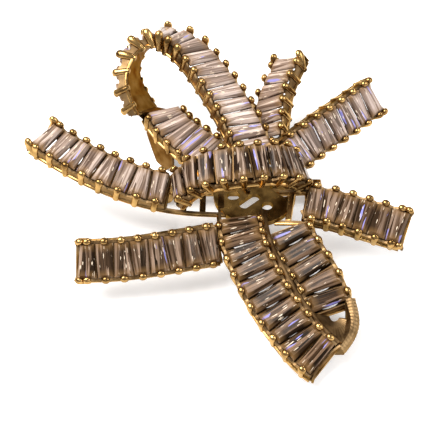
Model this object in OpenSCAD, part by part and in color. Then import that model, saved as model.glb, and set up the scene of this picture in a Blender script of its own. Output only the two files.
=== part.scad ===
// Bow brooch: ribbons of tapered baguette stones, claw set in an open gold frame.
// Millimetres. The brooch lies on its back: +Z comes out of the cloth and +Y points up the garment.
// Each ribbon follows a short table of stations. A station holds a place and the direction across
// the ribbon; functions work out everything else along the curve through the stations.

/* [Stones] */
// Length of a tail stone, across its ribbon
tail_stone = 4.8; // [4.2:0.1:5.4]
// Length of a loop stone
loop_stone = 5.3; // [4.6:0.1:5.8]
// Length of a knot stone
knot_stone = 5.0; // [4.4:0.1:5.6]
// Width of a stone at its wide end
stone_wide = 2.55; // [2.2:0.05:2.65]
// Width of a stone at its slim end
stone_slim = 2; // [1.6:0.05:2.1]
// Height of the table above the girdle
crown_h = 0.45; // [0.3:0.05:0.6]
// Thickness of the girdle
girdle_h = 0.15; // [0.1:0.05:0.25]
// Depth from the girdle to the keel in the middle of a stone
pavilion_h = 0.95; // [0.6:0.05:1.05]
// Distance from the edge of the girdle to the edge of the table
table_inset = 0.4; // [0.25:0.05:0.5]
// Distance from one stone's middle to the next along a ribbon
pitch = 2.62; // [2.5:0.02:3.2]

/* [Setting] */
// Clearance between a stone and the metal round it
seat_gap = 0.12; // [0.1:0.01:0.18]
// Depth of a ribbon's side wall below the girdle
wall_depth = 1.9; // [1.7:0.1:2.4]
// Height of the rail at the foot of the side wall
rail_h = 1.0; // [0.7:0.1:1.3]
// Thickness of the rail
rail_t = 0.5; // [0.4:0.05:0.7]
// Radius of a claw's post
claw_r = 0.34; // [0.28:0.02:0.4]
// Radius of the ball on a claw's tip
ball_r = 0.43; // [0.36:0.01:0.5]
// Height of the ball's middle above the girdle
claw_rise = 0.35; // [0.25:0.05:0.5]
// Width of a rung, along the ribbon
rung_w = 0.9; // [0.6:0.05:1.1]
// Thickness of a rung
rung_t = 0.5; // [0.3:0.05:0.6]

// Thickness of the fan of metal at the turn of the lower loop
fan_t = 0.8; // [0.6:0.1:1]
// Thickness of the plain band round that turn
band_t = 2.2; // [1.8:0.1:2.4]
// Height of that band
band_h = 3.6; // [3:0.1:4.2]

/* [Bow] */
// Height of the knot's girdles above the surface that the brooch lies on
knot_h = 13.9; // [13:0.1:16]
// Height of the lowest girdles, at the turn of the lower loop
foot_h = 2.9; // [2.6:0.1:3.4]
// Reach of the knot band to each side
knot_reach = 10; // [9:0.1:11]
// Reach of the left tail from the middle of the knot
left_reach = 30; // [26:0.5:34]
// Reach of the lower left tail
lower_left_reach = 26; // [23:0.5:30]
// Reach of the top tail
top_reach = 28; // [26:0.5:31]
// Reach of the upper right tail
upper_right_reach = 29; // [26:0.5:33]
// Reach of the right tail
right_reach = 25; // [22:0.5:28]
// Reach of the upper loop
upper_loop_reach = 33; // [30:0.5:36]
// Reach of the lower loop
lower_loop_reach = 29; // [27:0.5:32]

/* [Gallery and pin] */
// Radius of the pierced gallery plate under the knot
gallery_r = 6; // [5.6:0.1:6.4]
// Thickness of the gallery plate
gallery_t = 0.8; // [0.7:0.1:1.2]
// Height of the gallery plate's underside
gallery_h = 5.2; // [4.8:0.1:5.6]
// Width of a slot in the gallery plate
slot_w = 1.5; // [1.2:0.05:1.6]
// Distance between the hinge and the catch of the pin
pin_span = 22; // [18:0.5:26]
// Distance of the pin above the middle of the knot
pin_y = 6.6; // [6:0.1:7.5]
// Radius of the pin's wire
pin_r = 0.4; // [0.3:0.05:0.5]
// Radius of the hinge barrel and of the catch
hinge_r = 1.2; // [1:0.1:1.4]
// Height of the back bar's top, below the feet of the settings
bar_h = 3.4; // [3:0.1:3.5]

/* [Hidden] */
$fn = 24;
GOLD = "goldenrod";
CRYSTAL = [0.85, 0.78, 0.76];
rise = knot_h - foot_h;
steps = 8;

// Station columns: x and y are shares of the ribbon's reach, up is the share of the way from
// foot_h to knot_h, head and lean are the heading and the slope of the direction across, in degrees.
// Each ribbon is [stations, reach, stone length, length without stones at its root].
KNOT = [[
    [-0.98, 0.09, 0.46, -92, -12],
    [-0.77, 0.11, 0.72, -92, -18],
    [-0.46, 0.08, 0.91, -92, -18],
    [0.00, 0.06, 1.00, -88, -18],
    [0.50, 0.15, 0.97, -82, -18],
    [0.82, 0.31, 0.79, -76, -14],
    [0.93, 0.43, 0.52, -72, -10]], knot_reach, knot_stone, 0];
LEFT_TAIL = [[
    [-0.07, 0.02, 0.43, 90, 10],
    [-0.27, 0.02, 0.45, 89, 14],
    [-0.47, 0.04, 0.55, 82, 14],
    [-0.67, 0.10, 0.69, 70, 10],
    [-0.84, 0.20, 0.77, 60, 6],
    [-0.965, 0.297, 0.79, 52, 4]], left_reach, tail_stone, 8.4];
LOWER_LEFT_TAIL = [[
    [-0.12, -0.33, 0.36, 103, 42],
    [-0.36, -0.39, 0.36, 99, 44],
    [-0.56, -0.43, 0.35, 92, 44],
    [-0.74, -0.45, 0.35, 88, 44],
    [-0.87, -0.45, 0.35, 84, 42]], lower_left_reach, tail_stone, 0];
TOP_TAIL = [[
    [0.11, 0.21, 0.35, -12, 10],
    [0.14, 0.46, 0.37, -20, 24],
    [0.165, 0.72, 0.48, -28, 34],
    [0.215, 0.85, 0.57, -30, 35],
    [0.275, 0.975, 0.65, -30, 35]], top_reach, tail_stone, 6.8];
UPPER_RIGHT_TAIL = [[
    [0.19, 0.20, 0.36, -46, -18],
    [0.28, 0.29, 0.47, -48, -44],
    [0.43, 0.42, 0.51, -48, -48],
    [0.58, 0.56, 0.51, -48, -48],
    [0.725, 0.70, 0.51, -44, -48]], upper_right_reach, tail_stone, 3.6];
RIGHT_TAIL = [[
    [0.20, -0.02, 0.38, -98, -10],
    [0.35, -0.05, 0.46, -102, -14],
    [0.51, -0.08, 0.46, -104, -16],
    [0.72, -0.15, 0.40, -106, -22],
    [0.935, -0.215, 0.33, -108, -30]], right_reach, tail_stone, 4.6];
UPPER_LOOP = [[
    [0.13, 0.09, 0.41, 22, -4],
    [0.075, 0.23, 0.56, 24, -6],
    [0.02, 0.385, 0.65, 26, -8],
    [-0.045, 0.53, 0.74, 28, -10],
    [-0.13, 0.69, 0.82, 38, -12],
    [-0.225, 0.84, 0.88, 52, -14],
    [-0.345, 0.93, 0.90, 72, -22],
    [-0.475, 0.90, 0.84, 88, -42],
    [-0.545, 0.79, 0.62, 78, -48],
    [-0.53, 0.68, 0.40, 54, -44],
    [-0.465, 0.595, 0.19, 26, -46]], upper_loop_reach, loop_stone, 5.2];
UPPER_RETURN = [[
    [-0.03, 0.16, 0.34, 38, 16],
    [-0.115, 0.28, 0.32, 38, 16],
    [-0.225, 0.40, 0.30, 38, 14],
    [-0.305, 0.495, 0.29, 40, 4],
    [-0.352, 0.60, 0.29, 44, -8]], upper_loop_reach, loop_stone, 3.4];
LOWER_LOOP = [[
    [-0.005, -0.06, 0.42, 184, -4],
    [-0.01, -0.15, 0.45, 189, -8],
    [0.01, -0.325, 0.43, 199, -17],
    [0.07, -0.48, 0.37, 202, -20],
    [0.135, -0.625, 0.29, 210, -18],
    [0.213, -0.735, 0.21, 214, -16],
    [0.30, -0.86, 0.13, 218, -17],
    [0.378, -0.918, 0.075, 217, -13]], lower_loop_reach, loop_stone, 2.4];
LOWER_RETURN = [[
    [0.205, -0.10, 0.38, 210, -16],
    [0.265, -0.26, 0.27, 205, -18],
    [0.345, -0.385, 0.17, 199, -17],
    [0.39, -0.47, 0.11, 194, -12],
    [0.43, -0.59, 0.04, 188, -6]], lower_loop_reach, loop_stone, 2.3];
// Holes in the gallery plate as shares of its radius: [x, y, length, angle]
HOLES = [[-0.515, -0.09, 0.06, 10], [-0.125, -0.26, 0.35, 43], [0.3, -0.42, 0.03, 45],
         [0.62, 0.1, 0.3, -40], [0.1, 0.55, 0.3, 0]];
// Plain band at the turn of the lower loop
TURN = [[
    [0.510, -0.571, 0.02, 90, -62],
    [0.515, -0.62, 0.00, 96, -58],
    [0.510, -0.68, -0.02, 108, -50],
    [0.482, -0.745, -0.04, 120, -42],
    [0.427, -0.815, -0.05, 128, -36]], lower_loop_reach, 0, 0];
// Fan of metal round the small hole at that turn: [angle, reach, height of its rim, of its outer edge]
FAN_HOLE = [0.447, -0.622, 0.026, 0.035];
FAN = [[174, 0.122, -0.10, -0.06], [200, 0.168, -0.09, 0.14], [225, 0.168, -0.08, 0.11],
       [250, 0.190, -0.07, 0.07], [275, 0.195, -0.06, 0.04], [300, 0.138, -0.05, -0.02],
       [330, 0.072, -0.05, -0.02]];
// Web under the upper loop's return: [station, share of the way down to the cloth]
WEB = [[3.6, 0.2], [3.35, 0.5], [3, 1], [2.5, 1], [2.2, 0.6]];

TAILS = [LEFT_TAIL, LOWER_LEFT_TAIL, TOP_TAIL, UPPER_RIGHT_TAIL, RIGHT_TAIL];
BENT = [KNOT, UPPER_LOOP, UPPER_RETURN, LOWER_LOOP, LOWER_RETURN];

// Curve guided by the stations: a cubic B-spline that starts and ends on the first and the last
function unit(v) = v / norm(v);
function smooth(a, b, c, d, f) =
    ((1 - f) * (1 - f) * (1 - f) * a + (3 * f * f * f - 6 * f * f + 4) * b
     + (3 * f * f - 3 * f * f * f + 3 * f + 1) * c + f * f * f * d) / 6;
function station(ribbon, t) =
    let (rows = ribbon[0], last = len(rows) - 1, i = min(last - 1, max(0, floor(t))),
         before = i > 0 ? rows[i - 1] : 2 * rows[i] - rows[i + 1],
         after = i < last - 1 ? rows[i + 2] : 2 * rows[i + 1] - rows[i])
    smooth(before, rows[i], rows[i + 1], after, t - i);
function place(ribbon, t) =
    let (s = station(ribbon, t)) [ribbon[1] * s[0], ribbon[1] * s[1], foot_h + rise * s[2]];

// The frame at a point of the ribbon is [place, along, across, outward]
function pose(ribbon, t) =
    let (s = station(ribbon, t), along = unit(place(ribbon, t + 0.02) - place(ribbon, t - 0.02)),
         w = [cos(s[4]) * cos(s[3]), cos(s[4]) * sin(s[3]), sin(s[4])],
         across = unit(w - (w * along) * along))
    [place(ribbon, t), along, across, cross(across, along)];
function at(frame, a, b, c) = frame[0] + a * frame[1] + b * frame[2] + c * frame[3];

// Table of [distance along the ribbon, position between stations]
function travel(ribbon, t = 0, gone = 0) =
    t >= len(ribbon[0]) - 1 ? [[gone, len(ribbon[0]) - 1]] :
    concat([[gone, t]], travel(ribbon, t + 1 / steps,
        gone + norm(place(ribbon, t + 1 / steps) - place(ribbon, t))));
function span(table) = table[len(table) - 1][0];
function stone_count(ribbon, table) = max(1, round((span(table) - ribbon[3]) / pitch));
function stone_step(ribbon, table) = (span(table) - ribbon[3]) / stone_count(ribbon, table);

// Distances of the stones' middles, and of the rungs between them
function middles(ribbon, table) =
    [for (k = [0:stone_count(ribbon, table) - 1]) ribbon[3] + (k + 0.5) * stone_step(ribbon, table)];
function rung_places(ribbon, table) =
    concat([for (k = [0:stone_count(ribbon, table)]) ribbon[3] + k * stone_step(ribbon, table)],
           [for (s = [ribbon[3] - pitch:-pitch:0.3]) s]);
function claw_offset(ribbon) = ribbon[2] / 2 + seat_gap + claw_r;

// How much a ribbon's edge on each side is stretched where the ribbon turns: below 1 on the inside
function stretch(ribbon, s, table, b) =
    let (before = pose(ribbon, lookup(s - 0.5, table)), after = pose(ribbon, lookup(s + 0.5, table)))
    min(1.15, max(0.3, 1 + b * ((after[2] - before[2]) * unit(after[0] - before[0]))
                             / norm(after[0] - before[0])));

// Tapered baguette with a table, a stepped crown and a keel; ends holds the widths of its two ends
module stone(frame, length, ends) {
    end = length / 2;
    inner = end - table_inset;
    function half(b) = (ends[0] + ends[1]) / 4 + (ends[1] - ends[0]) * b / length / 2;
    function keel(side) = side * (end - half(side * end));
    deep = pavilion_h / half(0);
    low = -girdle_h;
    inset = min(table_inset, min(ends) / 3);
    corners = [[-1, -1], [1, -1], [1, 1], [-1, 1]];
    points = concat(
        [for (q = corners) at(frame, q[0] * (half(q[1] * inner) - inset), q[1] * inner, crown_h)],
        [for (q = corners) at(frame, q[0] * half(q[1] * end), q[1] * end, 0)],
        [for (q = corners) at(frame, q[0] * half(q[1] * end), q[1] * end, low)],
        [for (side = [-1, 1]) at(frame, 0, keel(side), low - deep * half(keel(side)))]);
    faces = [[0, 1, 2, 3],
             [4, 5, 1, 0], [5, 6, 2, 1], [6, 7, 3, 2], [7, 4, 0, 3],
             [8, 9, 5, 4], [9, 10, 6, 5], [10, 11, 7, 6], [11, 8, 4, 7],
             [12, 9, 8], [13, 11, 10], [12, 13, 10, 9], [13, 12, 8, 11]];
    polyhedron(points, faces, convexity = 2);
}

// Stones of a ribbon, wide end on alternate sides, slimmer on the inside of a turn
module stones(ribbon) {
    table = travel(ribbon);
    places = middles(ribbon, table);
    for (k = [0:len(places) - 1]) {
        widths = k % 2 == 0 ? [stone_slim, stone_wide] : [stone_wide, stone_slim];
        b = ribbon[2] / 2;
        stone(pose(ribbon, lookup(places[k], table)), ribbon[2],
              [widths[0] * stretch(ribbon, places[k], table, -b),
               widths[1] * stretch(ribbon, places[k], table, b)]);
    }
}

// Bar of four-sided section swept through rings of four points, which turn left-handed about its way
module swept(rings) {
    last = len(rings) - 1;
    sides = [for (r = [0:last - 1], k = [0:3])
        [4 * r + k, 4 * r + (k + 1) % 4, 4 * r + 4 + (k + 1) % 4, 4 * r + 4 + k]];
    ends = [[3, 2, 1, 0], [4 * last, 4 * last + 1, 4 * last + 2, 4 * last + 3]];
    polyhedron([for (r = rings) each r], concat(sides, ends), convexity = 6);
}

// Rail along one side of a ribbon
module rail(ribbon, table, side) {
    inner = ribbon[2] / 2 + seat_gap + 0.07;
    outer = inner + rail_t;
    count = 2 * round(span(table) / pitch);
    near = side > 0 ? inner : -outer;
    far = side > 0 ? outer : -inner;
    swept([for (k = [0:count])
        let (f = pose(ribbon, lookup(k * span(table) / count, table)))
        [at(f, 0, near, -wall_depth), at(f, 0, far, -wall_depth),
         at(f, 0, far, rail_h - wall_depth), at(f, 0, near, rail_h - wall_depth)]]);
}

// Rung across the open back of a ribbon
module rung(ribbon, frame) {
    reach = ribbon[2] / 2 + seat_gap + rail_t / 2;
    low = 0.1 - wall_depth;
    swept([for (b = [-reach, reach])
        [at(frame, rung_w / 2, b, low), at(frame, -rung_w / 2, b, low),
         at(frame, -rung_w / 2, b, low + rung_t), at(frame, rung_w / 2, b, low + rung_t)]]);
}

// Claw with a ball tip; foot is how far its post goes below the girdle
module claw(frame, b) {
    foot = wall_depth + 0.1;
    base = at(frame, 0, b, -foot);
    multmatrix([[frame[2].x, frame[1].x, frame[3].x, base.x],
                [frame[2].y, frame[1].y, frame[3].y, base.y],
                [frame[2].z, frame[1].z, frame[3].z, base.z],
                [0, 0, 0, 1]]) {
        cylinder(h = foot + claw_rise, r = claw_r);
        translate([0, 0, foot + claw_rise]) sphere(r = ball_r);
    }
}

// Prong at a corner of a ribbon's free end, leaning outward
module prong(frame, b) {
    out = unit(frame[3] + 0.7 * frame[1]);
    claw([at(frame, -0.3, 0, 0), cross(out, frame[2]), frame[2], out], b);
}

// Open setting of one ribbon: two rails, rungs between them, and a claw at each end of each stone
module setting(ribbon, free = false) {
    table = travel(ribbon);
    tip = pose(ribbon, len(ribbon[0]) - 1);
    if (free) for (side = [-1, 1]) prong(tip, side * claw_offset(ribbon));
    for (side = [-1, 1]) rail(ribbon, table, side);
    for (s = rung_places(ribbon, table)) rung(ribbon, pose(ribbon, lookup(s, table)));
    for (s = middles(ribbon, table), side = [-1, 1])
        claw(pose(ribbon, lookup(s, table)), side * claw_offset(ribbon));
}

// Plain band, standing on edge, that carries the lower loop round its turn
module turn_band() {
    last = len(TURN[0]) - 1;
    swept([for (k = [0:2 * last])
        let (f = pose(TURN, k / 2))
        [at(f, 0, -band_h / 2, -band_t / 2), at(f, 0, band_h / 2, -band_t / 2),
         at(f, 0, band_h / 2, band_t / 2), at(f, 0, -band_h / 2, band_t / 2)]]);
}

// Fan that fills the inside of the turn but for a small hole
module fan() {
    function spot(a, x, y, up, c) = [lower_loop_reach * (FAN_HOLE[0] + x * cos(a)),
                                     lower_loop_reach * (FAN_HOLE[1] + y * sin(a)),
                                     foot_h + rise * up + c];
    function ring(r) = [
        spot(r[0], FAN_HOLE[2], FAN_HOLE[3], r[2], -fan_t / 2), spot(r[0], r[1], r[1], r[3], -fan_t / 2),
        spot(r[0], r[1], r[1], r[3], fan_t / 2), spot(r[0], FAN_HOLE[2], FAN_HOLE[3], r[2], fan_t / 2)];
    swept([for (r = FAN) ring(r)]);
}

// Plate that joins the end of the upper loop's front strand to the end of its return
module link() {
    front = pose(UPPER_LOOP, len(UPPER_LOOP[0]) - 1);
    back = pose(UPPER_RETURN, len(UPPER_RETURN[0]) - 1);
    b = loop_stone / 2 + seat_gap + rail_t / 2;
    c = -wall_depth + rail_t;
    swept([[at(front, 0, -b, -wall_depth), at(front, 0, b, -wall_depth),
            at(front, 0, b, c), at(front, 0, -b, c)],
           [at(back, -rung_w / 2, -b, c), at(back, -rung_w / 2, b, c),
            at(back, rung_w / 2, b, c), at(back, rung_w / 2, -b, c)]]);
}

// Web from the return's near rail down to the cloth
module web() {
    b = -UPPER_RETURN[2] / 2 - seat_gap - 0.1;
    swept([for (row = WEB)
        let (f = pose(UPPER_RETURN, row[0]), inner = at(f, 0, b, 0.4 - wall_depth),
             outer = at(f, 0, b - rail_t, 0.4 - wall_depth))
        [inner, [inner.x, inner.y, inner.z * (1 - row[1])],
         [outer.x, outer.y, outer.z * (1 - row[1])], outer]]);
}

// Pierced plate that the ribbons' roots are soldered to
module gallery() {
    translate([gallery_r * 0.36, gallery_r * 0.36, gallery_h]) linear_extrude(gallery_t) difference() {
        circle(r = gallery_r, $fn = 48);
        for (h = HOLES) translate([h[0] * gallery_r, h[1] * gallery_r]) rotate(h[3])
            slot(h[2] * gallery_r, slot_w);
    }
}

// Slot with round ends
module slot(length, width) {
    polygon([for (end = [1, -1], a = [-90:30:90])
        end * [length / 2 + width / 2 * cos(a), width / 2 * sin(a)]]);
}

module bow_frame() {
    color(GOLD) {
        for (ribbon = TAILS) setting(ribbon, true);
        for (ribbon = BENT) setting(ribbon);
        turn_band();
        fan();
        link();
        web();
        gallery();
    }
}

// Hinge, catch, back bar and wire as one plain piece
module brooch_pin() {
    color(GOLD) translate([0, pin_y, 0]) {
        translate([-pin_span / 2 - hinge_r, -1, bar_h - 0.9]) cube([pin_span + 2 * hinge_r, 2, 0.9]);
        for (x = [-pin_span / 2, pin_span / 2]) {
            translate([x, 1, hinge_r]) rotate([90, 0, 0]) cylinder(h = 2, r = hinge_r);
            translate([x - 0.6, -1, hinge_r]) cube([1.2, 2, bar_h - hinge_r - 0.4]);
        }
        translate([-pin_span / 2, 0, hinge_r]) rotate([0, 90, 0]) cylinder(h = pin_span, r = pin_r);
    }
}

module knot_stones() { color(CRYSTAL) stones(KNOT); }
module upper_loop_stones() { color(CRYSTAL) { stones(UPPER_LOOP); stones(UPPER_RETURN); } }
module lower_loop_stones() { color(CRYSTAL) { stones(LOWER_LOOP); stones(LOWER_RETURN); } }
module left_tail_stones() { color(CRYSTAL) stones(LEFT_TAIL); }
module lower_left_tail_stones() { color(CRYSTAL) stones(LOWER_LEFT_TAIL); }
module top_tail_stones() { color(CRYSTAL) stones(TOP_TAIL); }
module upper_right_tail_stones() { color(CRYSTAL) stones(UPPER_RIGHT_TAIL); }
module right_tail_stones() { color(CRYSTAL) stones(RIGHT_TAIL); }

bow_frame();
brooch_pin();
knot_stones();
upper_loop_stones();
lower_loop_stones();
left_tail_stones();
lower_left_tail_stones();
top_tail_stones();
upper_right_tail_stones();
right_tail_stones();
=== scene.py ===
# %% [markdown]
# # A bow brooch set with baguette stones
# The brooch is a bow made of narrow ribbons. Each ribbon is an open gold channel that holds a row of
# long tapered stones, and small beads of gold keep them in. This lesson makes one stone, one claw and
# one length of channel, and then bends the channels into the bow.

import math

import bmesh
import bpy
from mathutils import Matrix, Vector


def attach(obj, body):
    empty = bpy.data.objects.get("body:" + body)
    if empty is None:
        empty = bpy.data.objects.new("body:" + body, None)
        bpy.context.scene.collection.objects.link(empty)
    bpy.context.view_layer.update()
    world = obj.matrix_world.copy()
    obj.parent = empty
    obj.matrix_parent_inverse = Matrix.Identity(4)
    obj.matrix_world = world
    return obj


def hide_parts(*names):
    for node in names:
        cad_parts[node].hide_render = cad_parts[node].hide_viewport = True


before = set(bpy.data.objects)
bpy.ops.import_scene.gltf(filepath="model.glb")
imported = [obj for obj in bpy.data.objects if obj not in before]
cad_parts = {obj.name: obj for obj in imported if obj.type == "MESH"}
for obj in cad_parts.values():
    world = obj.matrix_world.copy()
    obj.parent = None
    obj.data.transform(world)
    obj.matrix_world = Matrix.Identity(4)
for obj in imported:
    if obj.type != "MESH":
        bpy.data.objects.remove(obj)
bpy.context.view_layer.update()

# %% [markdown]
# ## Working under a loupe
# A claw is less than a millimetre thick, too small for comfortable modelling in metres. Every piece
# is therefore shaped in millimetres, and its points go to metres when it is set in place.
# The sizes have the same names as in the brooch's drawing.

# %% Sizes of the stones and the metal, in millimetres
MM = 0.001
tail_stone, loop_stone, knot_stone = 4.8, 5.3, 5.0
stone_wide, stone_slim = 2.55, 2.0
crown_h, girdle_h, pavilion_h, table_inset = 0.45, 0.15, 0.95, 0.4
pitch, seat_gap = 2.62, 0.12
wall_depth, rail_t, claw_r, rung_w, rung_t = 1.9, 0.5, 0.34, 0.9, 0.5
wall_t, plate_t, end_t = 0.36, 0.34, 0.3
band_t, band_h = 2.2, 3.6
knot_h, foot_h = 13.9, 2.9
gallery_r, gallery_t, gallery_h, slot_w = 6.0, 0.8, 5.2, 1.5
pin_span, pin_y, pin_r, hinge_r, bar_h = 22.0, 6.6, 0.4, 1.2, 3.4
bar_w, bar_t, post_w, post_d, barrel_l = 2, 0.9, 1.2, 1.8, 2
rise = knot_h - foot_h

# %% [markdown]
# ## The run of each ribbon
# A ribbon follows a few stations. The columns are x and y as shares of the ribbon's reach, the height
# as a share of the way from the lowest stones to the knot, and then two angles in degrees for the
# direction across the ribbon: its heading and its slope.

# %% Stations of the ribbons
KNOT = [(-.98, .09, .46, -92, -12), (-.77, .11, .72, -92, -18), (-.46, .08, .91, -92, -18),
        (0, .06, 1, -88, -18), (.5, .15, .97, -82, -18), (.82, .31, .79, -76, -14),
        (.93, .43, .52, -72, -10)]
LEFT_TAIL = [(-.07, .02, .43, 90, 10), (-.27, .02, .45, 89, 14), (-.47, .04, .55, 82, 14),
             (-.67, .10, .69, 70, 10), (-.84, .20, .77, 60, 6), (-.965, .297, .79, 52, 4)]
LOWER_LEFT_TAIL = [(-.12, -.33, .36, 103, 42), (-.36, -.39, .36, 99, 44), (-.56, -.43, .35, 92, 44),
                   (-.74, -.45, .35, 88, 44), (-.87, -.45, .35, 84, 42)]
TOP_TAIL = [(.11, .21, .35, -12, 10), (.14, .46, .37, -20, 24), (.165, .72, .48, -28, 34),
            (.215, .85, .57, -30, 35), (.275, .975, .65, -30, 35)]
UPPER_RIGHT_TAIL = [(.19, .20, .36, -46, -18), (.28, .29, .47, -48, -44), (.43, .42, .51, -48, -48),
                    (.58, .56, .51, -48, -48), (.725, .70, .51, -44, -48)]
RIGHT_TAIL = [(.20, -.02, .38, -98, -10), (.35, -.05, .46, -102, -14), (.51, -.08, .46, -104, -16),
              (.72, -.15, .40, -106, -22), (.935, -.215, .33, -108, -30)]
UPPER_LOOP = [(.13, .09, .41, 22, -4), (.075, .23, .56, 24, -6), (.02, .385, .65, 26, -8),
              (-.045, .53, .74, 28, -10), (-.13, .69, .82, 38, -12), (-.225, .84, .88, 52, -14),
              (-.345, .93, .90, 72, -22), (-.475, .90, .84, 88, -42), (-.545, .79, .62, 78, -48),
              (-.53, .68, .40, 54, -44), (-.465, .595, .19, 26, -46)]
UPPER_RETURN = [(-.03, .16, .34, 38, 16), (-.115, .28, .32, 38, 16), (-.225, .40, .30, 38, 14),
                (-.305, .495, .29, 40, 4), (-.352, .60, .29, 44, -8)]
LOWER_LOOP = [(-.005, -.06, .42, 184, -4), (-.01, -.15, .45, 189, -8), (.01, -.325, .43, 199, -17),
              (.07, -.48, .37, 202, -20), (.135, -.625, .29, 210, -18), (.213, -.735, .21, 214, -16),
              (.30, -.86, .13, 218, -17), (.378, -.918, .075, 217, -13)]
LOWER_RETURN = [(.205, -.10, .38, 210, -16), (.265, -.26, .27, 205, -18), (.345, -.385, .17, 199, -17),
                (.39, -.47, .11, 194, -12), (.43, -.59, .04, 188, -6)]
TURN = [(.51, -.571, .02, 90, -62), (.515, -.62, 0, 96, -58), (.51, -.68, -.02, 108, -50),
        (.482, -.745, -.04, 120, -42), (.427, -.815, -.05, 128, -36)]

# columns: stations, reach, length of its stones, length without stones at its root, has a free end
RIBBONS = {
    "knot": (KNOT, 10, knot_stone, 0, False),
    "left_tail": (LEFT_TAIL, 30, tail_stone, 8.4, True),
    "lower_left_tail": (LOWER_LEFT_TAIL, 26, tail_stone, 0, True),
    "top_tail": (TOP_TAIL, 28, tail_stone, 6.8, True),
    "upper_right_tail": (UPPER_RIGHT_TAIL, 29, tail_stone, 3.6, True),
    "right_tail": (RIGHT_TAIL, 25, tail_stone, 4.6, True),
    "upper_loop": (UPPER_LOOP, 33, loop_stone, 5.2, False),
    "upper_return": (UPPER_RETURN, 33, loop_stone, 3.4, False),
    "lower_loop": (LOWER_LOOP, 29, loop_stone, 2.4, False),
    "lower_return": (LOWER_RETURN, 29, loop_stone, 2.3, False),
    "turn": (TURN, 29, 0, 0, False)}
print(len(RIBBONS), "ribbons")

# %% [markdown]
# ## A smooth curve through the stations
# A jeweller bends a straight channel by hand, so its curve has no corners. A cubic B-spline bends the
# same way: it is pulled towards the stations and never kinks. At each point of it stand three
# directions: along the ribbon, across it, and outward from its face.

# %% The curve and the directions on it
def station(rows, t):
    last = len(rows) - 1
    i = min(last - 1, max(0, math.floor(t)))
    f = t - i
    mid, nxt = Vector(rows[i]), Vector(rows[i + 1])
    before = Vector(rows[i - 1]) if i > 0 else 2 * mid - nxt
    after = Vector(rows[i + 2]) if i < last - 1 else 2 * nxt - mid
    return ((1 - f) ** 3 * before + (3 * f ** 3 - 6 * f * f + 4) * mid
            + (3 * f * f - 3 * f ** 3 + 3 * f + 1) * nxt + f ** 3 * after) / 6


class Ribbon:
    """One ribbon: its curve, measured along its length, and where its stones and rungs lie."""

    def __init__(self, name):
        self.name = name
        self.rows, self.reach, self.stone, self.bare, self.free = RIBBONS[name]
        self.table, gone = [(0.0, 0.0)], 0.0
        for k in range(8 * (len(self.rows) - 1)):
            gone += (self.place((k + 1) / 8) - self.place(k / 8)).length
            self.table.append((gone, (k + 1) / 8))
        self.span = gone
        self.count = max(1, round((gone - self.bare) / pitch))
        self.step = (gone - self.bare) / self.count
        self.middles = [self.bare + (k + .5) * self.step for k in range(self.count)]
        self.seen = {}

    def place(self, t):
        row = station(self.rows, t)
        return Vector((self.reach * row[0], self.reach * row[1], foot_h + rise * row[2]))

    def pose(self, t):
        row = station(self.rows, t)
        along = (self.place(t + .02) - self.place(t - .02)).normalized()
        head, lean = math.radians(row[3]), math.radians(row[4])
        w = Vector((math.cos(lean) * math.cos(head), math.cos(lean) * math.sin(head), math.sin(lean)))
        across = (w - w.dot(along) * along).normalized()
        return self.place(t), along, across, across.cross(along)

    def at(self, s):
        """Place and directions at the distance s from the root, carried straight on past both ends."""
        key = round(s, 4)
        if key not in self.seen:
            inside = min(self.span, max(0.0, s))
            k = next(k for k in range(1, len(self.table)) if self.table[k][0] >= inside - 1e-9)
            (s0, t0), (s1, t1) = self.table[k - 1], self.table[k]
            p, along, across, outward = self.pose(t0 + (t1 - t0) * (inside - s0) / (s1 - s0))
            self.seen[key] = (p + (s - inside) * along, along, across, outward)
        return self.seen[key]

    def stretch(self, s, b):
        """How much the edge at b is longer or shorter than the middle where the ribbon turns."""
        low, high = self.at(max(0, s - .5)), self.at(min(self.span, s + .5))
        way = high[0] - low[0]
        return min(1.15, max(.3, 1 + b * (high[2] - low[2]).dot(way.normalized()) / way.length))


def on(pose, x, y, z):
    """The point x across, y along and z outward of a pose."""
    return pose[0] + y * pose[1] + x * pose[2] + z * pose[3]


ribbons = {name: Ribbon(name) for name in RIBBONS}
for r in ribbons.values():
    print(f"{r.name}: {r.span:.1f} mm long, {r.count if r.stone else 0} stones")

# %% [markdown]
# ## The bench tools
# These few helpers stand for the jeweller's hands. An operator works on all that is selected, so each
# helper first lets go of everything. Faces are then picked by where they are or how they face.

# %% Helpers for shaping with operators
def only(piece):
    if bpy.context.mode != "OBJECT":
        bpy.ops.object.mode_set(mode="OBJECT")
    bpy.ops.object.select_all(action="DESELECT")
    bpy.context.view_layer.objects.active = piece
    piece.select_set(True)


def new(name, add, scale=(1, 1, 1), **how):
    """Adds a primitive, with its size and turn put into its mesh."""
    if bpy.context.mode != "OBJECT":
        bpy.ops.object.mode_set(mode="OBJECT")
    bpy.ops.object.select_all(action="DESELECT")
    add(**how)
    piece = bpy.context.object
    piece.name = piece.data.name = name
    piece.scale = scale
    bpy.ops.object.transform_apply(location=True, rotation=True, scale=True)
    return piece


def block(name, size, middle):
    return new(name, bpy.ops.mesh.primitive_cube_add, size=1, scale=size, location=middle)


def pick(piece, test, kind="FACE"):
    """Goes to edit mode and selects what passes the test, by its middle and its normal."""
    if bpy.context.mode == "OBJECT":
        only(piece)
        bpy.ops.object.mode_set(mode="EDIT")
    bpy.ops.mesh.select_mode(type=kind)
    bpy.ops.mesh.select_all(action="DESELECT")
    mesh = bmesh.from_edit_mesh(piece.data)
    for part in mesh.faces if kind == "FACE" else mesh.verts:
        where = part.calc_center_median() if kind == "FACE" else part.co
        if test(where, part.normal):
            part.select_set(True)
    mesh.select_flush_mode()
    bmesh.update_edit_mesh(piece.data)


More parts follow.
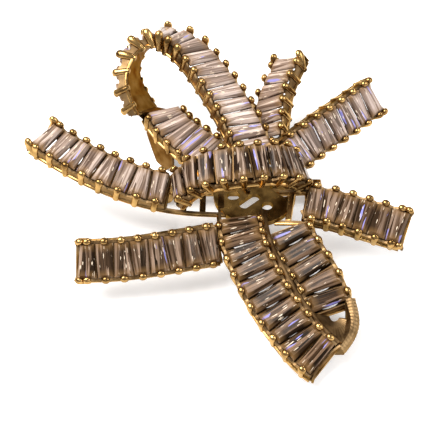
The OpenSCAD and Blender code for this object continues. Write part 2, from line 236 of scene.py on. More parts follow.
def pull(move, scale=(1, 1, 1), about=(0, 0, 0)):
    """Extrudes what is selected, and then sizes its end about a point."""
    bpy.ops.mesh.extrude_region_move(TRANSFORM_OT_translate={"value": move})
    bpy.ops.transform.resize(value=scale, center_override=about)


def finish_with(piece, kind, **settings):
    """Adds a modifier and applies it."""
    only(piece)
    modifier = piece.modifiers.new(kind.title(), kind)
    for key, value in settings.items():
        setattr(modifier, key, value)
    bpy.ops.object.modifier_apply(modifier=modifier.name)


def outward_normals(piece):
    pick(piece, lambda where, normal: True)
    bpy.ops.mesh.remove_doubles(threshold=1e-4)
    bpy.ops.mesh.normals_make_consistent(inside=False)
    only(piece)


def copy_of(piece):
    twin = piece.copy()
    twin.data = piece.data.copy()
    bpy.context.collection.objects.link(twin)
    return twin


def join(name, parts):
    only(parts[0])
    for part in parts:
        part.select_set(True)
    if len(parts) > 1:
        bpy.ops.object.join()
    whole = bpy.context.object
    whole.name = whole.data.name = name
    return whole


def move_points(piece, rule):
    """Moves each point of a mesh to where the rule says, from millimetres to metres."""
    for v in piece.data.vertices:
        v.co = rule(v.co) * MM
    piece.data.update()
    return piece


def to_metres(piece):
    return move_points(piece, lambda p: p.copy())


def bend(piece, ribbon):
    """Bends a straight piece, which lies along Y, onto a ribbon's curve."""
    return move_points(piece, lambda p: on(ribbon.at(p.y), p.x, 0, p.z))


def seat(piece, pose):
    """Sets a rigid piece on a pose without bending it."""
    return move_points(piece, lambda p: on(pose, p.x, p.y, p.z))


def discard(*pieces):
    for piece in pieces:
        bpy.data.objects.remove(piece, do_unlink=True)


def between(rows, share):
    """The row at a share of the way down a table, blended from the two rows next to it."""
    k = min(len(rows) - 2, int(share * (len(rows) - 1)))
    f = share * (len(rows) - 1) - k
    return [a + (b - a) * f for a, b in zip(rows[k], rows[k + 1])]


# %% [markdown]
# ## One tapered baguette
# A baguette is step cut: rows of long flat facets run round it like stairs. Above the girdle they
# climb to the table, and below it they fall to a keel, which throws the light back up. The stone
# starts as a flat slab, the girdle, and its top and bottom faces are extruded and narrowed step by
# step. Its own map tells the material where a point lies across and along the stone.

# %% Cut one stone
# columns: height above the girdle, inset from its edge
CROWN = [(.2, .13), (crown_h, table_inset)]
# columns: depth below the girdle, share of the width closed
PAVILION = [(.3, .1), (.62, .42), (pavilion_h, 1)]
nominal = (stone_wide + stone_slim) / 2


def cut_stone(length):
    stone = block("stone", (length, nominal, girdle_h), (0, 0, -girdle_h / 2))
    pick(stone, lambda where, normal: normal.z > .9)
    z, inset = 0, 0
    for up, into in CROWN:
        pull((0, 0, up - z), ((length / 2 - into) / (length / 2 - inset),
                              (nominal / 2 - into) / (nominal / 2 - inset), 1))
        z, inset = up, into
    pick(stone, lambda where, normal: normal.z < -.9 and where.z < -girdle_h / 2)
    z, closed = 0, 0
    for down, share in PAVILION:
        pull((0, 0, z - down), ((length - share * nominal) / (length - closed * nominal),
                                (1 - share) / (1 - closed), 1))
        z, closed = down, share
    outward_normals(stone)
    lay = stone.data.uv_layers.new(name="lay")
    for loop in stone.data.loops:
        p = stone.data.vertices[loop.vertex_index].co
        lay.data[loop.index].uv = (p.y / nominal + .5, p.x / length + .5)
    return stone


patterns = {length: cut_stone(length) for length in (tail_stone, loop_stone, knot_stone)}
print("a stone has", len(patterns[tail_stone].data.polygons), "facets")

# %% [markdown]
# ## Rows of stones
# Neighbours lie head to tail, so that tapered stones fill a straight ribbon. Where the ribbon turns
# in its own plane, the stones on the inside of the turn are cut slimmer. Each copy is given its own
# patch of the pattern, so that no two stones show the same streaks.

# %% Set out the stones of each field
def set_stones(ribbon, first):
    made = []
    for k, s in enumerate(ribbon.middles):
        ends = (stone_slim, stone_wide) if k % 2 == 0 else (stone_wide, stone_slim)
        low, high = (e * ribbon.stretch(s, side * ribbon.stone / 2) for e, side in zip(ends, (-1, 1)))
        stone = copy_of(patterns[ribbon.stone])
        for v in stone.data.vertices:
            v.co.y *= (low + (high - low) * (v.co.x / ribbon.stone + .5)) / nominal
        for uv in stone.data.uv_layers["lay"].data:
            uv.uv[0] += 3 * (first + k)
        made.append(seat(stone, ribbon.at(s)))
    return made


FIELDS = {"knot_stones": ["knot"], "upper_loop_stones": ["upper_loop", "upper_return"],
          "lower_loop_stones": ["lower_loop", "lower_return"], "left_tail_stones": ["left_tail"],
          "lower_left_tail_stones": ["lower_left_tail"], "top_tail_stones": ["top_tail"],
          "upper_right_tail_stones": ["upper_right_tail"], "right_tail_stones": ["right_tail"]}
fields, number = {}, 0
for field, names in FIELDS.items():
    parts = []
    for name in names:
        parts += set_stones(ribbons[name], number)
        number += ribbons[name].count
    fields[field] = join(field.replace("stones", "baguettes"), parts)
discard(*patterns.values())
print(number, "stones set")

# %% [markdown]
# ## Gold
# The metal is yellow gold plate. The wheel reaches the claws and the rails and leaves them bright. It
# can't reach the floor of a channel, so the plates and wedges under the stones stay rough from casting,
# and their darker tone is painted shade in the recess under the stones. The same rough, dark finish
# paints shade on the two rails between the lower loop's strands and on the web and the link. The
# gallery lies between the two, and the walls, the fan and its band are matt. One recipe makes all four:
# slow clouds change the tone and the gloss, and a fine bump stands for the marks of casting.

# %% Materials for the gold
def node(tree, kind, **inputs):
    made = tree.nodes.new(kind)
    for key, value in inputs.items():
        made.inputs[key.replace("_", " ")].default_value = value
    return made


def gold_material(name, dark, bright, smooth, rough, rim):
    mat = bpy.data.materials.new(name)
    mat.use_nodes = True
    tree = mat.node_tree
    shader = tree.nodes["Principled BSDF"]
    shader.inputs["Metallic"].default_value = 1
    shader.inputs["Specular Tint"].default_value = (*rim, 1)
    where = tree.nodes.new("ShaderNodeTexCoord")
    cloud = node(tree, "ShaderNodeTexNoise", Scale=520, Detail=3)
    tree.links.new(where.outputs["Object"], cloud.inputs["Vector"])
    tone = tree.nodes.new("ShaderNodeValToRGB")
    tone.color_ramp.elements[0].position, tone.color_ramp.elements[1].position = .32, .68
    tone.color_ramp.elements[0].color = (*dark, 1)
    tone.color_ramp.elements[1].color = (*bright, 1)
    tree.links.new(cloud.outputs["Fac"], tone.inputs["Fac"])
    tree.links.new(tone.outputs["Color"], shader.inputs["Base Color"])
    gloss = node(tree, "ShaderNodeMapRange", To_Min=smooth, To_Max=rough)
    tree.links.new(cloud.outputs["Fac"], gloss.inputs["Value"])
    tree.links.new(gloss.outputs["Result"], shader.inputs["Roughness"])
    grain = node(tree, "ShaderNodeTexNoise", Scale=2600, Detail=2)
    tree.links.new(where.outputs["Object"], grain.inputs["Vector"])
    bump = node(tree, "ShaderNodeBump", Strength=.3, Distance=.00003)
    tree.links.new(grain.outputs["Fac"], bump.inputs["Height"])
    tree.links.new(bump.outputs["Normal"], shader.inputs["Normal"])
    return mat


def coat(parts, metal):
    for part in parts:
        part.data.materials.clear()
        part.data.materials.append(metal)
    return parts


# columns: name, dark tone, bright tone, least roughness, most roughness, tint at a flat angle
gold = gold_material("polished gold", (.14, .075, .024), (.50, .31, .115), .12, .30, (1, .85, .6))
deep_gold = gold_material("deep gold", (.10, .052, .014), (.38, .225, .07), .16, .34, (.8, .6, .35))
# the cast finish is rough, and its dark tones are painted shade under the stones and between strands
cast_gold_painted_shade = gold_material("cast gold, painted shade", (.08, .044, .018), (.22, .135, .062), .34, .54, (.5, .35, .2))
satin_gold = gold_material("satin gold", (.12, .072, .032), (.31, .20, .095), .36, .54, (.5, .4, .25))
print("four gold finishes")

# %% [markdown]
# ## One claw
# A claw is a short wire soldered to the outside of the channel. The jeweller presses its tip over the
# stone and rounds it to a bead. Here a thin cylinder grows upwards by extrusion, ring by ring, and
# swells into the bead while it leans towards the stone.

# %% Shape one claw
# columns: height above the girdle, radius, lean towards the stone
CLAW = [(-1.3, .40, 0), (-.4, .40, 0), (-.05, .42, .02), (.1, .46, .07), (.3, .5, .12), (.52, .47, .17),
        (.7, .36, .2), (.8, .18, .21)]
FINGER = [(-1.3, .46, 0), (-.4, .5, 0), (.1, .54, .04), (.5, .55, .1), (.85, .48, .16), (1.08, .34, .2),
          (1.18, .17, .22)]
FOOT = [(-wall_depth - .12, .36, 0), (-wall_depth - .2, .24, 0)]
CLAW_SIDES = 14


def grow_claw(top):
    low, high = -wall_depth, -wall_depth + .2
    claw = new("claw", bpy.ops.mesh.primitive_cylinder_add, vertices=CLAW_SIDES, radius=claw_r,
               depth=high - low, location=(0, 0, (low + high) / 2))
    for rows, z, up in ((top, high, 1), (FOOT, low, -1)):
        pick(claw, lambda where, normal: up * normal.z > .9)
        r, x = claw_r, 0
        for height, radius, lean in rows:
            pull((x - lean, 0, height - z), (radius / r, radius / r, 1), (-lean, 0, height))
            z, r, x = height, radius, lean
    only(claw)
    bpy.ops.object.shade_smooth_by_angle(angle=math.radians(50))
    return claw


claw_pattern, finger_pattern = grow_claw(CLAW), grow_claw(FINGER)
print("a claw has", len(claw_pattern.data.polygons), "faces")

# %% [markdown]
# ## One channel
# The channel is the open box that the stones sit in. Its two side walls are scalloped, high at each
# claw and cut away between them, so that light reaches the stones from the side. A rail runs along
# the foot of each wall. A wedge of gold stands under each joint between two stones, and the back is
# a thin plate with an oval window behind each stone. Where the upper loop turns its back to the eye,
# the plate is closed. The wall is drawn flat as a fine grid, cut to its scallops, thickened, and bent.

# %% Walls, rails and rungs
rung_pattern = block("rung", (1, rung_w, rung_t), (0, 0, .05 - wall_depth + rung_t / 2))
finish_with(rung_pattern, "BEVEL", width=.1, segments=2, limit_method="NONE")

# columns: height below the girdle, thickness of the wedge
WEDGE = [(.95, .6), (.6, .24)]


def grow_wedge():
    foot = wall_depth - .25
    (down, thick), rest = WEDGE[0], WEDGE[1:]
    wedge = block("wedge", (1, thick, foot - down), (0, 0, -(foot + down) / 2))
    pick(wedge, lambda where, normal: normal.z > .9)
    for depth, slim in rest:
        pull((0, 0, down - depth), (1, slim / thick, 1))
        down, thick = depth, slim
    only(wedge)
    return wedge


wedge_pattern = grow_wedge()
PLAIN = {"upper_loop": .55}      # share of the length after which the back is closed
WINDOW = (.56, .28)              # half width and half length of a window, as shares of its cell


def wedges(ribbon):
    """The wedges, slanted like the joints between tapered stones."""
    slant, made = (stone_wide - stone_slim) / 2, []
    for k in range(ribbon.count + 1):
        wedge = copy_of(wedge_pattern)
        for v in wedge.data.vertices:
            v.co.y += slant * v.co.x * (-1 if k % 2 == 0 else 1)
            v.co.x *= ribbon.stone + seat_gap
        made.append(seat(wedge, ribbon.at(ribbon.bare + k * ribbon.step)))
    return made


def back_plates(ribbon):
    """A plate behind each stone: an oval ring of edges is pushed out to the sides of its cell."""
    half = ribbon.stone / 2 + seat_gap + .2
    wide, slim = WINDOW
    plate = new("back", bpy.ops.mesh.primitive_circle_add, vertices=32, radius=1, fill_type="NOTHING",
                scale=(wide * half, slim * ribbon.step, 1))
    pick(plate, lambda where, normal: True, "VERT")
    bpy.ops.mesh.extrude_edges_move()
    only(plate)
    for v in plate.data.vertices:
        if v.select:
            x, y = v.co.x / (wide * half), v.co.y / (slim * ribbon.step)
            out = 1 / max(abs(x), abs(y))
            v.co = (x * out * half, y * out * ribbon.step / 2, 0)
    for v in plate.data.vertices:
        v.co.z = plate_t / 2 - wall_depth
    finish_with(plate, "SOLIDIFY", thickness=plate_t, offset=0)
    outward_normals(plate)
    closed = block("back", (2 * half, ribbon.step, plate_t), (0, 0, plate_t / 2 - wall_depth))
    made = []
    for s in ribbon.middles:
        cell = copy_of(closed if s > PLAIN.get(ribbon.name, 2) * ribbon.span else plate)
        for v in cell.data.vertices:
            v.co.y += s
        made.append(bend(cell, ribbon))
    discard(plate, closed)
    return made


def wave(ribbon, s):
    """1 at a claw, 0 halfway between two claws, and 0 where the ribbon has no stones."""
    if s < ribbon.bare:
        return 0
    return math.cos(math.pi * (s - ribbon.middles[0]) / ribbon.step) ** 2


def side_wall(ribbon, side, dip):
    high, low = -.02, .1 - wall_depth
    across = 10 * max(1, round(ribbon.span / pitch))
    wall = new("wall", bpy.ops.mesh.primitive_grid_add, x_subdivisions=4, y_subdivisions=across, size=1,
               scale=(high - low, ribbon.span, 1), rotation=(0, math.radians(90), 0),
               location=(0, ribbon.span / 2, (high + low) / 2))
    inner = ribbon.stone / 2 + seat_gap + .1
    for v in wall.data.vertices:
        swell = wave(ribbon, v.co.y)
        top = high - dip * (1 - swell) ** 1.4 if v.co.y >= ribbon.bare else low + .45
        v.co.z = low + (v.co.z - low) * (top - low) / (high - low)
        v.co.x = side * (inner + .1 * swell)
    if side < 0:
        outward_normals(wall)
        pick(wall, lambda where, normal: True)
        if wall.data.polygons[0].normal.x > 0:
            bpy.ops.mesh.flip_normals()
        only(wall)
    finish_with(wall, "SOLIDIFY", thickness=wall_t, offset=0)
    return bend(wall, ribbon)


# the two rails that lie between the strands of the lower loop are wider, by this much a side
SHARED = {("lower_loop", -1): .3, ("lower_return", 1): .3}


def rail(ribbon, side):
    steps = 3 * max(1, round(ribbon.span / pitch))
    more = SHARED.get((ribbon.name, side), 0)
    bar = new("rail", bpy.ops.mesh.primitive_circle_add, vertices=10, radius=rail_t / 2 + .03 + more,
              fill_type="NGON", rotation=(math.radians(90), 0, 0),
              location=(side * (ribbon.stone / 2 + seat_gap + .07 + rail_t / 2 + more), 0,
                        rail_t / 2 - wall_depth + more))
    pick(bar, lambda where, normal: True)
    for k in range(steps):
        bpy.ops.mesh.extrude_region_move(TRANSFORM_OT_translate={"value": (0, ribbon.span / steps, 0)})
    outward_normals(bar)
    return bend(bar, ribbon)


def rungs(ribbon):
    places, s = [ribbon.bare, ribbon.span], ribbon.bare - pitch
    while s > .3:
        places.append(s)
        s -= pitch
    reach = ribbon.stone + 2 * seat_gap + rail_t
    made = []
    for s in places:
        rung = copy_of(rung_pattern)
        for v in rung.data.vertices:
            v.co.x *= reach
        made.append(seat(rung, ribbon.at(s)))
    return made


FINGERS = {"upper_loop": (.5, .84)}      # shares of the length between which the claws are fingers
PRONGED = ["left_tail", "top_tail"]      # free ends whose corner claws are long
FLAT = 1.25                              # how much a claw is wider along the wall than across it


def turned(claw, side, b):
    """A claw flattened along its wall: for the low side it is turned half round, never mirrored."""
    twin = copy_of(claw)
    for v in twin.data.vertices:
        v.co.x, v.co.y = side * (v.co.x + b), side * FLAT * v.co.y
    return twin


def claws(ribbon):
    b = ribbon.stone / 2 + seat_gap + claw_r
    start, end = FINGERS.get(ribbon.name, (1, 1))
    made = []
    for s in ribbon.middles:
        pattern = finger_pattern if start < s / ribbon.span < end else claw_pattern
        made += [seat(turned(pattern, side, b), ribbon.at(s)) for side in (-1, 1)]
    if ribbon.free:
        p, along, across, outward = ribbon.at(ribbon.span - .3)
        out = (outward + .7 * along).normalized()
        corner = (p, out.cross(across), across, out)
        pattern = finger_pattern if ribbon.name in PRONGED else claw_pattern
        made += [seat(turned(pattern, side, b), corner) for side in (-1, 1)]
    return made


def end_wall(ribbon):
    """The curved wall that closes a free end: its corners stand further out than its middle."""
    high, low = -.25, .1 - wall_depth
    reach = ribbon.stone / 2 + seat_gap + .3
    wall = new("end", bpy.ops.mesh.primitive_grid_add, x_subdivisions=24, y_subdivisions=3, size=1,
               scale=(2 * reach, high - low, 1), rotation=(math.radians(90), 0, 0),
               location=(0, 0, (high + low) / 2))
    for v in wall.data.vertices:
        share = (v.co.x / reach) ** 2
        v.co.y = ribbon.span - .12 + .62 * share
        v.co.z = low + (v.co.z - low) * (1 - .25 * (1 - share))
    finish_with(wall, "SOLIDIFY", thickness=end_t, offset=0)
    return bend(wall, ribbon)


DIP, DIPS = .4, {"knot": .8}             # depth of the scallops
ENDED = ["lower_loop"]                   # an end wall, though the band goes on from it
settings = []
for name, ribbon in ribbons.items():
    if name == "turn":
        continue
    dip = DIPS.get(name, DIP)
    walls = [side_wall(ribbon, side, dip) for side in (-1, 1)]
    if ribbon.free or name in ENDED:
        walls.append(end_wall(ribbon))
    parts = coat(claws(ribbon) + rungs(ribbon), gold) + coat(walls, satin_gold)
    # the rails between the lower loop's strands take the dark cast finish as painted shade
    for side in (-1, 1):
        parts += coat([rail(ribbon, side)], cast_gold_painted_shade if (name, side) in SHARED else gold)
    # the wedges and back plates under the stones take the dark cast finish as painted shade
    parts += coat(wedges(ribbon) + back_plates(ribbon), cast_gold_painted_shade)
    settings.append(join(name + "_setting", parts))
    print(settings[-1].name, len(settings[-1].data.polygons), "faces")
discard(claw_pattern, finger_pattern, rung_pattern, wedge_pattern)

# %% [markdown]
# ## The pierced gallery
# All ribbons are soldered to one plate under the knot. It is pierced with slots, to save gold and to
# let light in. A slot cutter is a round bar whose two halves are pulled apart, and a boolean modifier
# cuts with it as a saw would. A bevel breaks the sharp edges.

# %% Saw out the gallery
# columns: x, y and length as shares of the plate's radius, angle
HOLES = [(-.515, -.09, .06, 10), (-.125, -.26, .35, 43), (.3, -.42, .03, 45), (.62, .1, .3, -40),
         (.1, .55, .3, 0)]
middle = Vector((gallery_r * .36, gallery_r * .36, 0))
gallery = new("gallery_plate", bpy.ops.mesh.primitive_cylinder_add, vertices=96, radius=gallery_r,
              depth=gallery_t, location=(middle.x, middle.y, gallery_h + gallery_t / 2))
for x, y, length, angle in HOLES:
    saw = new("saw", bpy.ops.mesh.primitive_cylinder_add, vertices=24, radius=slot_w / 2,
              depth=3 * gallery_t, rotation=(0, 0, math.radians(7.5)))
    turn = math.radians(angle)
    for v in saw.data.vertices:
        along = v.co.x + math.copysign(length * gallery_r / 2, v.co.x)
        v.co = Vector((middle.x + x * gallery_r + along * math.cos(turn) - v.co.y * math.sin(turn),
                       middle.y + y * gallery_r + along * math.sin(turn) + v.co.y * math.cos(turn),
                       v.co.z + gallery_h + gallery_t / 2))
    finish_with(gallery, "BOOLEAN", operation="DIFFERENCE", object=saw, solver="EXACT")
    discard(saw)
finish_with(gallery, "BEVEL", width=.14, segments=3, limit_method="ANGLE", angle_limit=math.radians(40))
to_metres(gallery)
print("gallery has", len(gallery.data.polygons), "faces")

# %% [markdown]
# ## The band at the lower loop's turn
# Where the lower loop turns round at its tip, no stones show: the ribbon is seen from behind as a
# plain band that stands on edge. The ends of its claws show as fine ribs along it.

# %% Bend the band and its ribs
RIBS, RIB_H, SLICES = 16, .03, 96
BAND_SLIM = .34                          # half thickness of the visible band, as a share of band_t
turn_ribbon = ribbons["turn"]


def band():
    """A rounded bar, pushed out and in along its length as the ends of the claws would show."""
    piece = new("turn_band", bpy.ops.mesh.primitive_circle_add, vertices=24, radius=1, fill_type="NGON",
                rotation=(math.radians(90), 0, 0))
    for v in piece.data.vertices:
        corner = max(abs(v.co.x), abs(v.co.z)) ** .6
        v.co.x, v.co.z = v.co.x / corner * band_h / 2, v.co.z / corner * band_t * BAND_SLIM
    pick(piece, lambda where, normal: True)
    for k in range(SLICES):
        bpy.ops.mesh.extrude_region_move(
            TRANSFORM_OT_translate={"value": (0, turn_ribbon.span / SLICES, 0)})
    outward_normals(piece)
    for v in piece.data.vertices:
        swell = RIB_H * abs(math.sin(math.pi * RIBS * v.co.y / turn_ribbon.span)) - RIB_H
        v.co.x += math.copysign(swell, v.co.x)
        v.co.z += math.copysign(swell, v.co.z) - (.5 - BAND_SLIM) * band_t
    return bend(piece, turn_ribbon)


turn_band = band()
print("band has", len(turn_band.data.polygons), "faces")

# %% [markdown]
# ## The fan inside the turn
# Inside the turn the claws' feet run together into a ribbed fan of metal, with one small hole where
# they meet. It starts as a flat grid whose rows go round the hole. Each row runs from the hole's rim
# out to the fan's edge, rises on a ridge, and the sheet is then given its thickness.

# %% Spread the fan
# x, y and half sizes of the hole as shares of the lower loop's reach
FAN_HOLE = (.447, -.622, .026, .035)
# columns: angle, reach, height of its rim, height of its outer edge
FAN = [(174, .122, -.10, -.06), (200, .168, -.09, .14), (225, .168, -.08, .11), (250, .19, -.07, .07),
       (275, .195, -.06, .04), (300, .138, -.05, -.02), (330, .072, -.05, -.02)]
# thickness of the fan's sheet, number of its ridges, and how far they rise from the sheet
SHEET_T, FAN_RIDGES, RIDGE_H = .6, 22, .16


def spread_fan():
    piece = new("fan", bpy.ops.mesh.primitive_grid_add, x_subdivisions=130, y_subdivisions=8, size=1,
                location=(.5, .5, 0))
    reach = turn_ribbon.reach

    def rule(p):
        angle, out, rim, edge = between(FAN, p.x)
        x, y = math.cos(math.radians(angle)), math.sin(math.radians(angle))
        near = Vector((FAN_HOLE[0] + FAN_HOLE[2] * x, FAN_HOLE[1] + FAN_HOLE[3] * y, rim))
        far = Vector((FAN_HOLE[0] + out * x, FAN_HOLE[1] + out * y, edge))
        spot = near.lerp(far, p.y)
        ridge = RIDGE_H * abs(math.sin(math.pi * FAN_RIDGES * p.x)) * min(1, 3 * p.y)
        return Vector((reach * spot.x, reach * spot.y, foot_h + rise * spot.z + ridge))

    for v in piece.data.vertices:
        v.co = rule(v.co)
    outward_normals(piece)
    finish_with(piece, "SOLIDIFY", thickness=SHEET_T, offset=0)
    only(piece)
    bpy.ops.object.shade_smooth_by_angle(angle=math.radians(60))
    return to_metres(piece)


fan = spread_fan()
print("fan has", len(fan.data.polygons), "faces")

# %% [markdown]
# ## Web and link
# A thin web fills the corner between the upper loop's return and the cloth and gives the brooch its
# third foot. A small plate links the far ends of the loop's two strands.

# %% Cut the web and fit the link
# columns: station of the return, share of the way down to the cloth
WEB = [(3.6, .2), (3.35, .5), (3, 1), (2.5, 1), (2.2, .6)]
back = ribbons["upper_return"]


def web():
    piece = new("web", bpy.ops.mesh.primitive_grid_add, x_subdivisions=24, y_subdivisions=8, size=1,
                location=(.5, .5, 0))
    edge = -back.stone / 2 - seat_gap - .1 - rail_t / 2

    def rule(p):
        t, down = between(WEB, p.x)
        top = on(back.pose(t), edge, 0, .4 - wall_depth)
        return Vector((top.x, top.y, top.z * (1 - down * p.y)))

    for v in piece.data.vertices:
        v.co = rule(v.co)
    outward_normals(piece)
    finish_with(piece, "SOLIDIFY", thickness=rail_t, offset=0)
    finish_with(piece, "BEVEL", width=.12, segments=2, limit_method="ANGLE",
                angle_limit=math.radians(50))
    return to_metres(piece)


def link():
    front = ribbons["upper_loop"].pose(len(UPPER_LOOP) - 1)
    rear = back.pose(len(UPPER_RETURN) - 1)
    b = loop_stone / 2 + seat_gap + rail_t / 2
    low, high = -wall_depth, rail_t - wall_depth
    piece = block("link", (1, 1, 1), (.5, .5, .5))

    def rule(p):
        x = b * (2 * p.x - 1)
        if p.y < .5:
            return on(front, x, 0, low + (high - low) * p.z)
        return on(rear, x, rung_w * (.5 - p.z), high)

    for v in piece.data.vertices:
        v.co = rule(v.co)
    outward_normals(piece)
    finish_with(piece, "BEVEL", width=.1, segments=2, limit_method="ANGLE",
                angle_limit=math.radians(40))
    return to_metres(piece)


web_plate, link_plate = web(), link()
print("web", len(web_plate.data.polygons), "faces, link", len(link_plate.data.polygons), "faces")

# %% [markdown]
# ## The pin
# The pin hides behind the bow. A barrel at each end of a flat bar holds the wire: one is the hinge and
# the other the catch. All its parts are turned or sawn, so each starts as a cylinder or a bar, and a
# small bevel takes off the sharp edges as a file would. The wire narrows towards the catch.

# %% Turn the pin
def filed(piece, width):
    finish_with(piece, "BEVEL", width=width, segments=3, limit_method="ANGLE",
                angle_limit=math.radians(40))
    return piece


def make_pin():
    bar = block("bar", (pin_span + 2 * hinge_r, bar_w, bar_t), (0, pin_y, bar_h - bar_t / 2))
    parts = [filed(bar, .18)]
    low, high = hinge_r, bar_h - .4
    for x in (-pin_span / 2, pin_span / 2):
        post = block("post", (post_w, post_d, high - low), (x, pin_y, (low + high) / 2))
        barrel = new("barrel", bpy.ops.mesh.primitive_cylinder_add, vertices=40, radius=hinge_r,
                     depth=barrel_l, rotation=(math.radians(90), 0, 0), location=(x, pin_y, hinge_r))
        parts += [filed(post, .1), filed(barrel, .2)]
    wire = new("wire", bpy.ops.mesh.primitive_cylinder_add, vertices=20, radius=pin_r,
               depth=pin_span * .6, rotation=(0, math.radians(90), 0),
               location=(-pin_span * .2, pin_y, hinge_r))
    pick(wire, lambda where, normal: normal.x > .9)
    for step, thin in ((.25, .9), (.15, .6)):
        pull((pin_span * step, 0, 0), (1, thin, thin), (0, pin_y, hinge_r))
    only(wire)
    bpy.ops.object.shade_smooth_by_angle(angle=math.radians(40))
    return to_metres(join("pin", parts + [wire]))


pin = make_pin()
print("pin has", len(pin.data.polygons), "faces")

# %% [markdown]
# ## Cut stone
# A clear stone in a gold channel isn't white: it shows the metal under it and the room above it in long
# streaks that follow its facets. These streaks are painted reflections, drawn on the stone's own map
# and stretched along its length. Small cells add painted flashes of blue and pale gold light, and the
# ends are painted brown where the walls would show through, a painted reflection of the walls. Painted
# streaks stay the same at every size and need no long tracing of light.

# %% Materials for the stones
def stone_material(name, dark, mid, light, fire):
    mat = bpy.data.materials.new(name)
    mat.use_nodes = True
    tree = mat.node_tree
    shader = tree.nodes["Principled BSDF"]
    shader.inputs["Roughness"].default_value = .07
    shader.inputs["IOR"].default_value = 1.6
    shader.inputs["Specular IOR Level"].default_value = .07
    lay = tree.nodes.new("ShaderNodeUVMap")
    lay.uv_map = "lay"

    def drawn(kind, scale, out, **inputs):
        sheet = node(tree, "ShaderNodeMapping", Scale=scale)
        tree.links.new(lay.outputs["UV"], sheet.inputs["Vector"])
        pattern = node(tree, kind, **inputs)
        tree.links.new(sheet.outputs["Vector"], pattern.inputs["Vector"])
        return pattern.outputs[out]

    facets = drawn("ShaderNodeTexVoronoi", (7, .8, 1), "Color", Scale=1, Randomness=1)
    split = tree.nodes.new("ShaderNodeSeparateColor")
    tree.links.new(facets, split.inputs["Color"])
    streaks = drawn("ShaderNodeTexNoise", (9, .5, 1), "Fac", Scale=1, Detail=4, Roughness=.6)
    level = node(tree, "ShaderNodeMath", Value=.5)
    level.operation = "MULTIPLY_ADD"
    level.inputs[1].default_value, level.inputs[2].default_value = .42, 0
    tree.links.new(split.outputs["Red"], level.inputs[0])
    fine = tree.nodes.new("ShaderNodeMath")
    fine.operation = "MULTIPLY_ADD"
    fine.inputs[1].default_value = .58
    tree.links.new(streaks, fine.inputs[0])
    tree.links.new(level.outputs["Value"], fine.inputs[2])
    # the ramp paints the streaks as reflections of the dark metal below and the light room above
    tone = tree.nodes.new("ShaderNodeValToRGB")
    ramp = tone.color_ramp.elements
    ramp[0].position, ramp[0].color = .33, (*dark, 1)
    ramp[1].position, ramp[1].color = .70, (*light, 1)
    half = ramp.new(.5)
    half.color = (*mid, 1)
    tree.links.new(fine.outputs["Value"], tone.inputs["Fac"])

    def painted_flashes(under, scale, share, colour):
        """Scattered cells of another colour over what lies under them, painted as flashes of light."""
        cells = tree.nodes.new("ShaderNodeSeparateColor")
        tree.links.new(drawn("ShaderNodeTexVoronoi", scale, "Color", Scale=1, Randomness=1),
                       cells.inputs["Color"])
        chosen = node(tree, "ShaderNodeMapRange", From_Min=1 - share, From_Max=1.001 - share, To_Max=.8)
        tree.links.new(cells.outputs["Green"], chosen.inputs["Value"])
        mix = tree.nodes.new("ShaderNodeMix")
        mix.data_type = "RGBA"
        mix.inputs["B"].default_value = (*colour, 1)
        tree.links.new(chosen.outputs["Result"], mix.inputs["Factor"])
        tree.links.new(under, mix.inputs["A"])
        return mix.outputs["Result"]

    # painted flashes: blue fire on a share of the facets, and pale gold glints on a few cells
    painted_fire = painted_flashes(tone.outputs["Color"], (10, 2.2, 1), fire, (.28, .28, .72))
    painted_glints = painted_flashes(painted_fire, (30, 9, 1), .022, (.90, .76, .58))
    place = tree.nodes.new("ShaderNodeSeparateXYZ")
    tree.links.new(lay.outputs["UV"], place.inputs["Vector"])
    off = node(tree, "ShaderNodeMath", Value=.5)
    off.operation = "SUBTRACT"
    off.inputs[1].default_value = .5
    tree.links.new(place.outputs["Y"], off.inputs[0])
    size = tree.nodes.new("ShaderNodeMath")
    size.operation = "ABSOLUTE"
    tree.links.new(off.outputs["Value"], size.inputs[0])
    # the ends of the stone are painted brown, a painted reflection of the gold walls beside them
    end = node(tree, "ShaderNodeMapRange", From_Min=.24, From_Max=.5, To_Max=.7)
    tree.links.new(size.outputs["Value"], end.inputs["Value"])
    painted_wall_reflection = tree.nodes.new("ShaderNodeMix")
    painted_wall_reflection.data_type = "RGBA"
    painted_wall_reflection.inputs["B"].default_value = (.20, .11, .04, 1)
    tree.links.new(end.outputs["Result"], painted_wall_reflection.inputs["Factor"])
    tree.links.new(painted_glints, painted_wall_reflection.inputs["A"])
    tree.links.new(painted_wall_reflection.outputs["Result"], shader.inputs["Base Color"])
    steps = node(tree, "ShaderNodeBump", Strength=.8, Distance=.00003)
    tree.links.new(streaks, steps.inputs["Height"])
    tree.links.new(steps.outputs["Normal"], shader.inputs["Normal"])
    return mat


# columns: dark, middle and light tone of the painted streaks, share of the facets that flash blue. The
# tones differ from field to field as painted light and shade: lighter for the upper loop and the left,
# top and upper right tails, darker for the knot, the lower loop and the lower left and right tails.
LIT_AND_SHADED_TONES = {
    "knot_stones": ((.013, .007, .004), (.048, .026, .014), (.34, .25, .19), .026),
    "lower_left_tail_stones": ((.014, .008, .004), (.08, .047, .027), (.28, .195, .14), .018),
    "lower_loop_stones": ((.009, .005, .002), (.036, .0185, .0085), (.20, .125, .078), .010),
    "left_tail_stones": ((.085, .055, .040), (.205, .145, .11), (.47, .375, .32), .026),
    "right_tail_stones": ((.026, .015, .008), (.068, .039, .022), (.225, .155, .112), .018),
    "upper_right_tail_stones": ((.085, .058, .043), (.19, .13, .10), (.47, .375, .33), .036),
    "top_tail_stones": ((.14, .09, .065), (.30, .215, .165), (.55, .435, .36), .02),
    "upper_loop_stones": ((.14, .10, .078), (.29, .21, .17), (.55, .455, .40), .026)}
for node_name, piece in fields.items():
    piece.data.materials.clear()
    piece.data.materials.append(stone_material(node_name.replace("_", " "), *LIT_AND_SHADED_TONES[node_name]))
print(len(LIT_AND_SHADED_TONES), "stone materials")
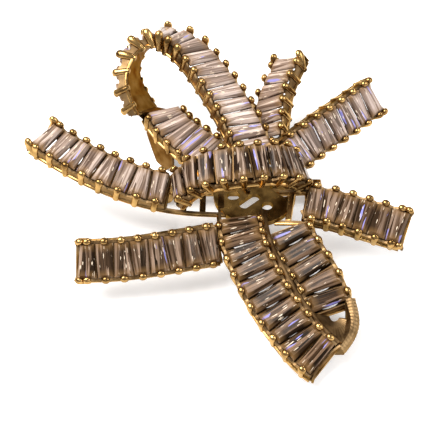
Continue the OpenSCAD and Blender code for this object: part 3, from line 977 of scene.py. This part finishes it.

# %% [markdown]
# ## Pieces on their body
# The brooch has no moving part, so every piece rides on the one body. Each new piece hides the plain
# solid it stands for, and the solids are given the same finishes as the pieces.

# %% Hand the pieces to the frame
metal = settings + coat([gallery], deep_gold) + coat([turn_band, fan], satin_gold)
# the web and the link take the dark cast finish as painted shade
metal += coat([web_plate, link_plate], cast_gold_painted_shade)
for piece in metal:
    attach(piece, "root")
    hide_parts("bow_frame")
for piece in coat([pin], gold):
    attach(piece, "root")
    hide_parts("brooch_pin")
for node_name, piece in fields.items():
    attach(piece, "root")
    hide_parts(node_name)
for node_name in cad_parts:
    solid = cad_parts[node_name]
    finish = fields[node_name].data.materials[0] if node_name in fields else gold
    solid.data.materials.clear()
    solid.data.materials.append(finish)
print(len(metal) + len(fields) + 1, "new pieces")

# %% [markdown]
# ## Table, light and camera
# The brooch lies on its back on a pale light table. Its faint glow thins the shadows and shows
# through the pierced gallery. Soft lights give the highlights that polished gold needs, and the
# camera looks down at the photograph's angle.

# %% Set up the studio
floor = new("floor", bpy.ops.mesh.primitive_plane_add, size=3)
pale = bpy.data.materials.new("pale table")
pale.use_nodes = True
TABLE = {"Base Color": (.86, .86, .86, 1), "Roughness": .7, "Emission Color": (1, 1, 1, 1),
         "Emission Strength": .34}
for key, value in TABLE.items():
    pale.node_tree.nodes["Principled BSDF"].inputs[key].default_value = value
floor.data.materials.append(pale)

world = bpy.data.worlds.new("studio")
world.use_nodes = True
room = world.node_tree.nodes["Background"].inputs
room["Color"].default_value, room["Strength"].default_value = (1, .975, .95, 1), .52
bpy.context.scene.world = world

# columns: place in metres, size in metres, power in watts, colour
LIGHTS = {"key": ((-.26, .02, .50), .40, 6, (1, .97, .94)),
          "fill": ((.42, -.05, .34), .30, 1.6, (.95, .97, 1)),
          "glint": ((.10, -.40, .42), .02, .16, (1, .96, .92)),
          "far glint": ((.16, .34, .40), .02, .16, (1, .97, .95))}
for name, (place, size, power, colour) in LIGHTS.items():
    bpy.ops.object.light_add(type="AREA", location=place)
    lamp = bpy.context.object
    lamp.name = name
    lamp.data.size, lamp.data.energy, lamp.data.color = size, power, colour
    lamp.rotation_euler = (Vector((0, 0, .006)) - Vector(place)).to_track_quat("-Z", "Y").to_euler()

# the camera's place in metres, its tilt from straight down in degrees, its lens in millimetres
CAMERA, TILT, LENS = (-.0036, -.1530, .1677), 43, 128.9
bpy.ops.object.camera_add(location=CAMERA, rotation=(math.radians(TILT), 0, 0))
camera = bpy.context.object
camera.data.lens, camera.data.sensor_width = LENS, 36
camera.data.clip_start = .01
bpy.context.scene.camera = camera
bpy.context.scene.view_settings.view_transform = "Standard"
print("camera looks down at", 90 - TILT, "degrees")
